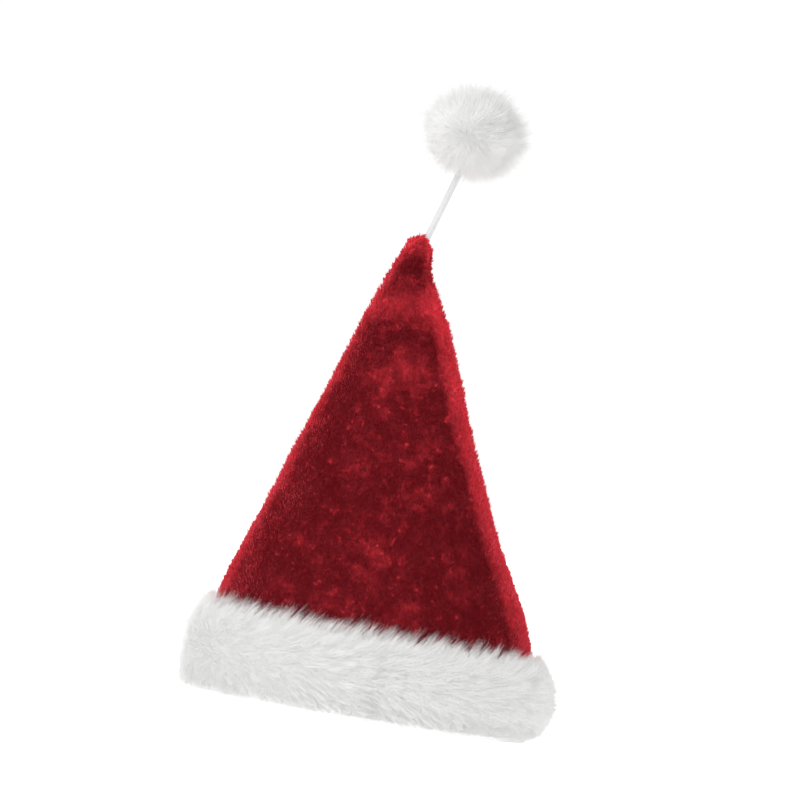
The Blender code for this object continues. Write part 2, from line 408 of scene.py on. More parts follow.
        points = roots.outputs["Points"]
        is_cut = wiring.math("LESS_THAN", wiring.chance(0.0, 1.0, self.seed + 8), sizes["Cut Share"])
        turned = wiring.math("SUBTRACT", 1.0, wiring.math("MULTIPLY", is_cut, 2.0))
        for name, value, kind in (
            ("strand_turned", turned, "FLOAT"),
            ("strand_root", root, "FLOAT_VECTOR"),
            ("strand_up", up, "FLOAT_VECTOR"),
            ("strand_lie", lie, "FLOAT_VECTOR"),
            ("strand_sway", sway, "FLOAT_VECTOR"),
            ("strand_length", length, "FLOAT"),
            ("strand_lift", wiring.math("ADD", sizes["Root Lift"], lift_change), "FLOAT"),
            ("strand_end_lift", wiring.math("ADD", sizes["Tip Lift"], lift_above), "FLOAT"),
            ("strand_roll", wiring.math("MULTIPLY", wiring.chance(-1.0, 1.0, self.seed + 5), sizes["Roll"]), "FLOAT"),
            (TONE, wiring.chance(0.0, 1.0, self.seed + 6), "FLOAT"),
        ):
            points = wiring.stored(points, name, value, kind)
        return points

    def template(self, wiring: FurWiring) -> Socket:
        """One flat strand that narrows to a point, with how far along and to which side each point is.

        Args:
            wiring: the tree's wiring.

        Returns:
            The strand's mesh.
        """
        grid = wiring.node(
            "GeometryNodeMeshGrid",
            {"Size X": 2.0, "Size Y": 1.0, "Vertices X": 2, "Vertices Y": self.segments + 1},
        )
        place = wiring.node("GeometryNodeInputPosition").outputs["Position"]
        parts = wiring.node("ShaderNodeSeparateXYZ", {"Vector": place}).outputs
        mesh = wiring.stored(grid.outputs["Mesh"], "strand_narrowing", wiring.math("ADD", parts["Y"], 0.5))
        mesh = wiring.stored(mesh, "strand_side", parts["X"])
        narrowing = wiring.math("SUBTRACT", 1.0, wiring.read("strand_narrowing"))
        narrow = wiring.node(
            "ShaderNodeCombineXYZ",
            {"X": wiring.math("MULTIPLY", parts["X"], narrowing), "Y": parts["Y"], "Z": 0.0},
        )
        pointed = wiring.node("GeometryNodeSetPosition", {"Geometry": mesh, "Position": narrow.outputs["Vector"]})
        merged = wiring.node("GeometryNodeMergeByDistance", {"Geometry": pointed.outputs["Geometry"], "Distance": MM})
        return merged.outputs["Geometry"]

    def along(self, wiring: FurWiring) -> Socket:
        """How far along its strand each point is: a cut strand has its narrow end at the root."""
        centred = wiring.math("SUBTRACT", wiring.read("strand_narrowing"), 0.5)
        return wiring.math("ADD", 0.5, wiring.math("MULTIPLY", centred, wiring.read("strand_turned")))

    def shape(self, wiring: FurWiring, sizes: bpy.types.NodeOutputs) -> Socket:
        """Where each point of a strand goes: it rises from the skin and bends over along its lie.

        Args:
            wiring: the tree's wiring.
            sizes: the tree's inputs.

        Returns:
            The position.
        """
        along = self.along(wiring)
        up = wiring.read("strand_up", "FLOAT_VECTOR")
        lie = wiring.read("strand_lie", "FLOAT_VECTOR")
        length = wiring.read("strand_length")
        lift = wiring.read("strand_lift")
        bend = wiring.math("SUBTRACT", wiring.read("strand_end_lift"), lift)
        lift_here = wiring.math("ADD", lift, wiring.math("MULTIPLY", bend, along))
        reach = wiring.math("SUBTRACT", wiring.math("SINE", lift_here), wiring.math("SINE", lift))
        rise = wiring.math("SUBTRACT", wiring.math("COSINE", lift), wiring.math("COSINE", lift_here))
        step = wiring.math("DIVIDE", length, bend)
        centre = wiring.vector(
            "ADD",
            wiring.read("strand_root", "FLOAT_VECTOR"),
            wiring.vector(
                "ADD",
                wiring.scaled(lie, wiring.math("MULTIPLY", reach, step)),
                wiring.scaled(up, wiring.math("MULTIPLY", rise, step)),
            ),
        )
        swayed = wiring.scaled(
            wiring.read("strand_sway", "FLOAT_VECTOR"), wiring.math("POWER", along, 1.7)
        )
        across = wiring.vector(
            "NORMALIZE",
            wiring.vector(
                "ADD",
                wiring.vector("CROSS_PRODUCT", lie, up),
                wiring.scaled(up, wiring.read("strand_roll")),
            ),
        )
        taper = wiring.math("SUBTRACT", 1.0, wiring.math("POWER", wiring.read("strand_narrowing"), 2.0))
        half_width = wiring.math("MULTIPLY", wiring.math("MULTIPLY", sizes["Width"], 0.5), taper)
        side = wiring.math("MULTIPLY", wiring.read("strand_side"), wiring.read("strand_turned"))
        out = wiring.math("MULTIPLY", side, half_width)
        place = wiring.vector("ADD", wiring.vector("ADD", centre, swayed), wiring.scaled(across, out))
        parts = wiring.node("ShaderNodeSeparateXYZ", {"Vector": place}).outputs
        kept_up = self.above_floor(wiring, sizes, parts["Z"])
        return wiring.node(
            "ShaderNodeCombineXYZ", {"X": parts["X"], "Y": parts["Y"], "Z": kept_up}
        ).outputs["Vector"]

    def above_floor(self, wiring: FurWiring, sizes: bpy.types.NodeOutputs, height: Socket) -> Socket:
        """A height eased up near the floor, so that hanging strands end above it at uneven heights.

        Args:
            wiring: the tree's wiring.
            sizes: the tree's inputs.
            height: the height.

        Returns:
            The eased height.
        """
        ease = sizes["Floor Ease"]
        over = wiring.math("SUBTRACT", wiring.math("SUBTRACT", height, sizes["Floor Gap"]), ease)
        share = wiring.math("EXPONENT", wiring.math("DIVIDE", wiring.math("MINIMUM", over, 0.0), ease))
        eased = wiring.math("ADD", sizes["Floor Gap"], wiring.math("MULTIPLY", ease, share))
        return wiring.math("ADD", eased, wiring.math("MAXIMUM", over, 0.0))


@dataclass(frozen=True)
class PlushFinish:
    """Short crushed red pile: deep red where it stands up, lighter in crushed patches, with painted highlight and
    shade laid on by the wall's press field and painted highlight on the nap's tips.
    """

    name: str = "red_plush"
    deep: tuple[float, float, float] = (0.118, 0.0076, 0.0120)
    bright: tuple[float, float, float] = (0.760, 0.0560, 0.0800)
    through: tuple[float, float, float] = (0.880, 0.0950, 0.1350)
    roughness: float = 0.9
    sheen: float = 0.9
    sheen_tint: tuple[float, float, float] = (1.0, 0.08, 0.11)
    crush_size: float = 24 * MM
    blotch_size: float = 8 * MM
    speck_size: float = 4.2 * MM
    grain_size: float = 0.9 * MM
    tip_highlight_gain: float = 0.12
    press_and_painted_light_gain: float = 0.60

    def material(self, light_through: float = 0.0) -> bpy.types.Material:
        """The material, with the share of the light that passes through it."""
        name = f"{self.name}_nap" if light_through else self.name
        material, wiring, shader = blank_material(name)
        place = wiring.node("ShaderNodeTexCoord").outputs["Object"]
        crush = noise_at(wiring, place, self.crush_size, 5.0, 0.68)
        blotch = noise_at(wiring, place, self.blotch_size, 4.0, 0.68)
        speck = noise_at(wiring, place, self.speck_size, 2.0, 0.6)
        grain = noise_at(wiring, place, self.grain_size, 1.0, 0.5)
        along = wiring.node("ShaderNodeAttribute", attribute_name=ALONG).outputs["Fac"]
        tone = wiring.node("ShaderNodeAttribute", attribute_name=TONE).outputs["Fac"]
        nap_press_and_painted_light = wiring.node("ShaderNodeAttribute", attribute_name=NAP_PRESS_AND_PAINTED_LIGHT).outputs["Fac"]
        share = wiring.smooth_step(crush, 0.43, 0.67, -0.015, 0.22)
        share = wiring.math("ADD", share, wiring.smooth_step(blotch, 0.43, 0.67, -0.048, 0.165))
        specks = wiring.smooth_step(speck, 0.57, 0.68, 0.0, 0.50)
        where = wiring.smooth_step(blotch, 0.47, 0.61, 0.0, 1.0)
        share = wiring.math("ADD", share, wiring.math("MULTIPLY", specks, where))
        share = wiring.math("ADD", share, wiring.math("MULTIPLY", wiring.math("SUBTRACT", grain, 0.5), 0.2))
        # painted highlight and shade from the wall's field, partly real crush of the nap
        share = wiring.math("ADD", share, wiring.math("MULTIPLY", nap_press_and_painted_light, self.press_and_painted_light_gain))
        # painted highlight: the nap's strands lighter towards their tips
        share = wiring.math("ADD", share, wiring.math("MULTIPLY", along, self.tip_highlight_gain))
        share = wiring.math("ADD", share, wiring.math("MULTIPLY", wiring.math("SUBTRACT", tone, 0.5), 0.1))
        colour = mixed(wiring, share, self.deep, self.bright)
        wiring.feed(shader.inputs["Base Color"], colour)
        shader.inputs["Roughness"].default_value = self.roughness
        shader.inputs["Specular IOR Level"].default_value = 0.06
        shader.inputs["Sheen Weight"].default_value = self.sheen
        shader.inputs["Sheen Roughness"].default_value = 0.35
        shader.inputs["Sheen Tint"].default_value = (*self.sheen_tint, 1.0)
        if light_through:
            let_light_through(wiring, shader, (*self.through, 1.0), light_through)
        else:
            bumped(wiring, shader, grain, 0.5, 0.35 * MM)
        return material


@dataclass(frozen=True)
class BackingFinish:
    """The knitted back of the plush, seen inside the hat."""

    name: str = "red_backing"
    colour: tuple[float, float, float] = (0.150, 0.008, 0.012)
    rib: float = 1.3 * MM

    def material(self) -> bpy.types.Material:
        """The material."""
        material, wiring, shader = blank_material(self.name)
        place = wiring.node("ShaderNodeTexCoord").outputs["Object"]
        wave = wiring.node(
            "ShaderNodeTexWave",
            {"Vector": place, "Scale": 1 / self.rib / 4, "Distortion": 1.5, "Detail": 1.0},
            bands_direction="Z",
        ).outputs["Fac"]
        fuzz = noise_at(wiring, place, self.rib / 2, 2.0, 0.5)
        share = wiring.math("MULTIPLY", wiring.math("ADD", wave, fuzz), 0.5)
        darker = tuple(0.6 * value for value in self.colour)
        wiring.feed(shader.inputs["Base Color"], mixed(wiring, share, darker, self.colour))
        shader.inputs["Roughness"].default_value = 0.9
        shader.inputs["Specular IOR Level"].default_value = 0.2
        bumped(wiring, shader, share, 0.6, 0.3 * MM)
        return material


@dataclass(frozen=True)
class FurFinish:
    """Long white fur: a little darker towards the tips, as painted shade at the fur's edges, and no two strands quite
    alike.
    """

    name: str = "white_fur"
    # painted shade: the tips are darker than the roots, so that the fur's edges read darker
    tip: tuple[float, float, float] = (0.907, 0.907, 0.902)
    root: tuple[float, float, float] = (0.950, 0.950, 0.945)
    strand_change: float = 0.15
    light_through: float = 0.50

    def material(self) -> bpy.types.Material:
        """The material."""
        material, wiring, shader = blank_material(self.name)
        along = wiring.node("ShaderNodeAttribute", attribute_name=ALONG).outputs["Fac"]
        tone = wiring.node("ShaderNodeAttribute", attribute_name=TONE).outputs["Fac"]
        # painted shade, growing towards the tips
        depth = wiring.smooth_step(along, 0.0, 0.7, 0.0, 1.0)
        change = wiring.math("MULTIPLY", wiring.math("SUBTRACT", tone, 0.5), 2 * self.strand_change)
        colour = mixed(wiring, wiring.math("ADD", depth, change), self.root, self.tip)
        wiring.feed(shader.inputs["Base Color"], colour)
        shader.inputs["Roughness"].default_value = 0.6
        shader.inputs["Specular IOR Level"].default_value = 0.2
        let_light_through(wiring, shader, colour, self.light_through)
        return material


@dataclass(frozen=True)
class FurSkinFinish:
    """The white cloth that the fur grows on, seen between its strands and at the cuff's foot."""

    name: str = "white_fur_skin"
    light: tuple[float, float, float] = (0.93, 0.93, 0.925)
    dark: tuple[float, float, float] = (0.86, 0.86, 0.855)

    def material(self) -> bpy.types.Material:
        """The material."""
        material, wiring, shader = blank_material(self.name)
        place = wiring.node("ShaderNodeTexCoord").outputs["Object"]
        share = noise_at(wiring, place, 1.5 * MM, 3.0, 0.6)
        wiring.feed(shader.inputs["Base Color"], mixed(wiring, share, self.dark, self.light))
        shader.inputs["Roughness"].default_value = 0.9
        shader.inputs["Specular IOR Level"].default_value = 0.2
        bumped(wiring, shader, share, 0.6, 0.8 * MM)
        return material


@dataclass(frozen=True)
class PlasticFinish:
    """The stem's smooth white plastic."""

    name: str = "white_plastic"
    light: tuple[float, float, float] = (0.53, 0.53, 0.535)
    dark: tuple[float, float, float] = (0.45, 0.45, 0.46)

    def material(self) -> bpy.types.Material:
        """The material."""
        material, wiring, shader = blank_material(self.name)
        place = wiring.node("ShaderNodeTexCoord").outputs["Object"]
        share = noise_at(wiring, place, 5 * MM, 2.0, 0.5)
        wiring.feed(shader.inputs["Base Color"], mixed(wiring, share, self.dark, self.light))
        wiring.feed(shader.inputs["Roughness"], wiring.smooth_step(share, 0.3, 0.7, 0.28, 0.38))
        shader.inputs["Specular IOR Level"].default_value = 0.5
        fine = noise_at(wiring, place, 0.6 * MM, 1.0, 0.5)
        bumped(wiring, shader, fine, 0.15, 0.05 * MM)
        return material


@dataclass(frozen=True)
class FloorFinish:
    """The plain white floor, which glows a little, as the top of a light table does."""

    name: str = "white_floor"
    colour: tuple[float, float, float] = (0.96, 0.96, 0.96)
    glow: float = 0.46

    def material(self) -> bpy.types.Material:
        """The material."""
        material, _, shader = blank_material(self.name)
        shader.inputs["Base Color"].default_value = (*self.colour, 1.0)
        shader.inputs["Roughness"].default_value = 0.9
        shader.inputs["Specular IOR Level"].default_value = 0.1
        shader.inputs["Emission Color"].default_value = (1.0, 1.0, 1.0, 1.0)
        shader.inputs["Emission Strength"].default_value = self.glow
        return material


def blank_material(name: str) -> tuple[bpy.types.Material, Wiring, bpy.types.Node]:
    """A new material with one Principled shader.

    Args:
        name: the material's name.

    Returns:
        The material, its wiring and its shader.
    """
    material = bpy.data.materials.new(name)
    material.use_nodes = True
    return material, Wiring(material.node_tree), material.node_tree.nodes["Principled BSDF"]


def noise_at(wiring: Wiring, place: Socket, size: float, detail: float, roughness: float) -> Socket:
    """Soft noise whose patches are about this size.

    Args:
        wiring: the material's wiring.
        place: the coordinates that it reads.
        size: a patch's size, in metres.
        detail: how many finer layers it has.
        roughness: how strong they are.

    Returns:
        The noise, from 0 to 1 with a mean of a half.
    """
    inputs = {"Vector": place, "Scale": 1 / size, "Detail": detail, "Roughness": roughness}
    return wiring.node("ShaderNodeTexNoise", inputs).outputs["Fac"]


def mixed(
    wiring: Wiring, share: Socket, low: tuple[float, float, float], high: tuple[float, float, float]
) -> Socket:
    """A colour between two.

    Args:
        wiring: the material's wiring.
        share: 0 for the first colour, 1 for the second.
        low: the first colour.
        high: the second.

    Returns:
        The colour.
    """
    made = wiring.node("ShaderNodeMix", data_type="RGBA", clamp_factor=True)
    wiring.feed(made.inputs[0], share)
    made.inputs[6].default_value = (*low, 1.0)
    made.inputs[7].default_value = (*high, 1.0)
    return made.outputs[2]


def let_light_through(wiring: Wiring, shader: bpy.types.Node, colour: Value, share: float) -> None:
    """Lets a share of the light pass through, as through a thin fibre.

    Args:
        wiring: the material's wiring.
        shader: the shader of the light that doesn't.
        colour: the colour of the light that passes.
        share: how much of the light passes.
    """
    thin = wiring.node("ShaderNodeBsdfTranslucent", {"Color": colour}).outputs["BSDF"]
    both = wiring.node("ShaderNodeMixShader", {0: share, 1: shader.outputs["BSDF"], 2: thin})
    output = wiring.tree.nodes["Material Output"]
    wiring.feed(output.inputs["Surface"], both.outputs["Shader"])


def bumped(wiring: Wiring, shader: bpy.types.Node, height: Socket, strength: float, distance: float) -> None:
    """Gives a shader a bump.

    Args:
        wiring: the material's wiring.
        shader: the shader.
        height: the relief, from 0 to 1.
        strength: how strong it is.
        distance: how deep it is, in metres.
    """
    bump = wiring.node("ShaderNodeBump", {"Height": height, "Strength": strength, "Distance": distance})
    wiring.feed(shader.inputs["Normal"], bump.outputs["Normal"])


@dataclass(frozen=True)
class Section:
    """The cone's outer face at one height: its ends, half its depth, and how far its right end dips."""

    height: float
    left: float
    right: float
    depth: float
    slant: float = 0.0


@dataclass(frozen=True)
class Fold:
    """A soft ridge or hollow of the cloth: its middle, its spread each way in degrees and metres, its lift."""

    turn: float
    height: float
    turn_spread: float
    height_spread: float
    lift: float

    @staticmethod
    def total(folds: tuple["Fold", ...], turn: np.ndarray, height: np.ndarray) -> np.ndarray:
        """The sum of the lifts at each turn and height.

        Args:
            folds: the folds.
            turn: how far round each point is, in radians.
            height: how high it is.

        Returns:
            The sum at each point.
        """
        lift = np.zeros_like(turn)
        for fold in folds:
            off_turn = ((np.degrees(turn) - fold.turn + 180) % 360 - 180) / fold.turn_spread
            off_height = (height - fold.height) / fold.height_spread
            lift += fold.lift * np.exp(-0.5 * (off_turn**2 + off_height**2))
        return lift


@dataclass(frozen=True)
class HatForm:
    """The outer face of the cone of cloth, which the cuff goes round."""

    squareness: float = 2.25
    cloth: float = 2.8 * MM
    sections: tuple[Section, ...] = (
        Section(height=0.0051, left=-0.1140, right=0.1140, depth=0.0875),
        Section(height=0.0400, left=-0.1140, right=0.1135, depth=0.0875),
        Section(height=0.0700, left=-0.1126, right=0.1082, depth=0.0845),
        Section(height=0.1050, left=-0.1018, right=0.0917, depth=0.0755),
        Section(height=0.1400, left=-0.0891, right=0.0737, depth=0.0645),
        Section(height=0.1750, left=-0.0778, right=0.0586, depth=0.0540),
        Section(height=0.2100, left=-0.0654, right=0.0438, depth=0.0440),
        Section(height=0.2450, left=-0.0536, right=0.0307, depth=0.0345),
        Section(height=0.2750, left=-0.0438, right=0.0183, depth=0.0262),
        Section(height=0.3000, left=-0.0350, right=0.0053, depth=0.0185),
        Section(height=0.3130, left=-0.0294, right=-0.0002, depth=0.0146, slant=0.0006),
        Section(height=0.3250, left=-0.0238, right=-0.0018, depth=0.0112, slant=0.0016),
        Section(height=0.3320, left=-0.0205, right=-0.0035, depth=0.0082, slant=0.0024),
        Section(height=0.3345, left=-0.0165, right=-0.0065, depth=0.0048, slant=0.0014),
    )
    folds: tuple[Fold, ...] = (
        Fold(turn=-37, height=0.190, turn_spread=9, height_spread=0.110, lift=0.0030),
        Fold(turn=-64, height=0.190, turn_spread=15, height_spread=0.100, lift=-0.0026),
        Fold(turn=-13, height=0.150, turn_spread=9, height_spread=0.080, lift=-0.0016),
        Fold(turn=-21, height=0.082, turn_spread=6, height_spread=0.016, lift=0.0026),
        Fold(turn=-85, height=0.306, turn_spread=38, height_spread=0.008, lift=-0.0016),
        Fold(turn=-78, height=0.286, turn_spread=34, height_spread=0.009, lift=0.0014),
        Fold(turn=-96, height=0.262, turn_spread=36, height_spread=0.011, lift=-0.0018),
        Fold(turn=-92, height=0.236, turn_spread=30, height_spread=0.013, lift=0.0012),
        Fold(turn=-105, height=0.115, turn_spread=20, height_spread=0.035, lift=-0.0020),
        Fold(turn=-150, height=0.150, turn_spread=11, height_spread=0.090, lift=-0.0014),
        Fold(turn=70, height=0.190, turn_spread=26, height_spread=0.050, lift=-0.0034),
        Fold(turn=112, height=0.110, turn_spread=15, height_spread=0.030, lift=0.0020),
        Fold(turn=96, height=0.275, turn_spread=40, height_spread=0.012, lift=-0.0018),
    )

    def section(self, height: np.ndarray) -> np.ndarray:
        """The section at each height, on a smooth curve through the sections.

        Args:
            height: the heights.

        Returns:
            A row for each height: height, left, right, depth and slant.
        """
        table = np.array([(s.height, s.left, s.right, s.depth, s.slant) for s in self.sections])
        levels = table[:, 0]
        height = np.clip(height, levels[0], levels[-1])
        slopes = np.gradient(table, levels, axis=0)
        i = np.clip(np.searchsorted(levels, height) - 1, 0, len(levels) - 2)
        span = (levels[i + 1] - levels[i])[:, None]
        t = (height - levels[i])[:, None] / span
        start, end = 2 * t**3 - 3 * t**2 + 1, 3 * t**2 - 2 * t**3
        leave, arrive = (t**3 - 2 * t**2 + t) * span, (t**3 - t**2) * span
        return start * table[i] + end * table[i + 1] + leave * slopes[i] + arrive * slopes[i + 1]

    def points(self, turn: np.ndarray, height: np.ndarray, out: np.ndarray | float = 0.0) -> np.ndarray:
        """Points of the cone's outer face, moved outwards.

        Args:
            turn: how far round each point is, in radians.
            height: how high it is.
            out: how far out it is moved.

        Returns:
            A row of x, y and z for each point.
        """
        turn, height = np.broadcast_arrays(turn, height)
        level, left, right, depth, slant = self.section(height.ravel()).T
        turn = turn.ravel()
        half_width, middle = (right - left) / 2, (left + right) / 2
        across = signed_power(np.cos(turn), 2 / self.squareness)
        back = signed_power(np.sin(turn), 2 / self.squareness)
        normal_x = signed_power(across, self.squareness - 1) / half_width
        normal_y = signed_power(back, self.squareness - 1) / depth
        size = np.hypot(normal_x, normal_y)
        lift = np.broadcast_to(out, turn.shape) + Fold.total(self.folds, turn, level)
        x = middle + half_width * across + lift * normal_x / size
        y = depth * back + lift * normal_y / size
        return np.column_stack([x, y, level - slant * across])


def signed_power(value: np.ndarray, power: float) -> np.ndarray:
    """Values to a power, with their signs kept."""
    return np.copysign(np.abs(value) ** power, value)


def turns(columns: int) -> np.ndarray:
    """Evenly spaced turns, one for each column."""
    return np.arange(columns) * 2 * math.pi / columns


class Closing(Enum):
    """Whether the last ring of a loft is joined to the first."""

    OPEN = "open"
    ROUND = "round"


def loft(name: str, rings: list[np.ndarray], closing: Closing) -> bpy.types.Object:
    """An object whose faces join rings of points.

    Args:
        name: the object's name.
        rings: the rings, each with the same number of points, ordered so that the faces point out.
        closing: whether the last ring joins the first.

    Returns:
        The object.
    """
    count = len(rings[0])
    last = len(rings) if closing is Closing.ROUND else len(rings) - 1
    faces = []
    for row in range(last):
        low, high = row * count, (row + 1) % len(rings) * count
        for i in range(count):
            j = (i + 1) % count
            faces.append((low + i, low + j, high + j, high + i))
    mesh = bpy.data.meshes.new(name)
    mesh.from_pydata(np.vstack(rings).tolist(), [], faces)
    mesh.shade_smooth()
    made = bpy.data.objects.new(name, mesh)
    bpy.context.scene.collection.objects.link(made)
    return made


def set_field(mesh: bpy.types.Mesh, name: str, values: np.ndarray) -> None:
    """Keeps a number or a vector for each vertex under a name.

    Args:
        mesh: the mesh.
        name: the attribute's name.
        values: a number or a row of three for each vertex.
    """
    if values.ndim == 1:
        mesh.attributes.new(name, "FLOAT", "POINT").data.foreach_set("value", values)
    else:
        mesh.attributes.new(name, "FLOAT_VECTOR", "POINT").data.foreach_set("vector", values.ravel())


def drop_fields(mesh: bpy.types.Mesh, *names: str) -> None:
    """Removes named attributes from a mesh."""
    for name in names:
        mesh.attributes.remove(mesh.attributes[name])


def vertices_of(mesh: bpy.types.Mesh) -> np.ndarray:
    """A row of x, y and z for each vertex."""
    places = np.empty(len(mesh.vertices) * 3)
    mesh.vertices.foreach_get("co", places)
    return places.reshape(-1, 3)


def dress(piece: bpy.types.Object, *materials: bpy.types.Material) -> None:
    """Gives a piece its materials."""
    for material in materials:
        piece.data.materials.append(material)


def remove(thing: bpy.types.Object) -> None:
    """Removes a helper object and its mesh."""
    mesh = thing.data
    bpy.data.objects.remove(thing)
    bpy.data.meshes.remove(mesh)


def seat(piece: bpy.types.Object, slot: str, *nodes: str) -> bpy.types.Object:
    """Puts a piece on the hat's one body.

    Args:
        piece: the piece.
        slot: the material slot that it belongs to; not used.
        nodes: the plain solids that it stands for.

    Returns:
        The piece.
    """
    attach(piece, "root")
    if nodes:
        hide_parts(*nodes)
    LOG.info("%s: %d faces", piece.name, len(piece.data.polygons))
    return piece


@dataclass(frozen=True)
class Stem:
    """The slim plastic stem, which leans to the right out of the cone's tip."""

    radius: float = 2.25 * MM
    lean: float = math.radians(17.2)
    exit: tuple[float, float, float] = (-0.0086, 0.0, 0.3350)
    below_exit: float = 20 * MM
    above_exit: float = 82.8 * MM
    foot_radius: float = 7.5 * MM
    foot_thickness: float = 1.6 * MM
    edge: float = 0.35 * MM
    sides: int = 40
    hoops: int = 24

    def place(self, along: float = 0.0) -> Matrix:
        """The matrix that stands a shape on the stem's line, this far above where it leaves the tip."""
        turn = Matrix.Rotation(self.lean, 4, "Y")
        return Matrix.Translation(Vector(self.exit) + turn @ Vector((0.0, 0.0, along))) @ turn

    def ring(self, radius: float, along: float, count: int) -> np.ndarray:
        """A circle round the stem's line.

        Args:
            radius: the circle's radius.
            along: how far above the exit it is.
            count: how many points it has.

        Returns:
            The points.
        """
        place = self.place(along)
        return np.array(
            [place @ Vector((radius * math.cos(a), radius * math.sin(a), 0.0)) for a in turns(count)]
        )

    def build(self) -> bpy.types.Object:
        """The rod and its foot, with small rounded edges.

        Returns:
            The piece.
        """
        low, high = -self.below_exit, self.above_exit
        under = low + self.foot_thickness
        rod = np.linspace(under + self.edge, high - self.edge, self.hoops)
        profile = [
            (0.01 * MM, low),
            (self.foot_radius - self.edge, low),
            (self.foot_radius, low + self.edge),
            (self.foot_radius, under - self.edge),
            (self.foot_radius - self.edge, under),
            (self.radius + self.edge, under),
            *((self.radius, height) for height in rod),
            (self.radius - self.edge, high),
            (0.01 * MM, high),
        ]
        stem = loft("stem_rod", [self.ring(r, h, self.sides) for r, h in profile], Closing.OPEN)
        self.cap(stem.data, len(profile))
        dress(stem, PlasticFinish().material())
        return seat(stem, "white_plastic", "stem")

    def cap(self, mesh: bpy.types.Mesh, rings: int) -> None:
        """Closes the rod's two ends.

        Args:
            mesh: the rod's mesh.
            rings: how many rings it has.
        """
        places = vertices_of(mesh).tolist()
        faces = [tuple(face.vertices) for face in mesh.polygons]
        first = tuple(reversed(range(self.sides)))
        last = tuple(range((rings - 1) * self.sides, rings * self.sides))
        mesh.clear_geometry()
        mesh.from_pydata(places, [], [*faces, first, last])
        mesh.shade_smooth()


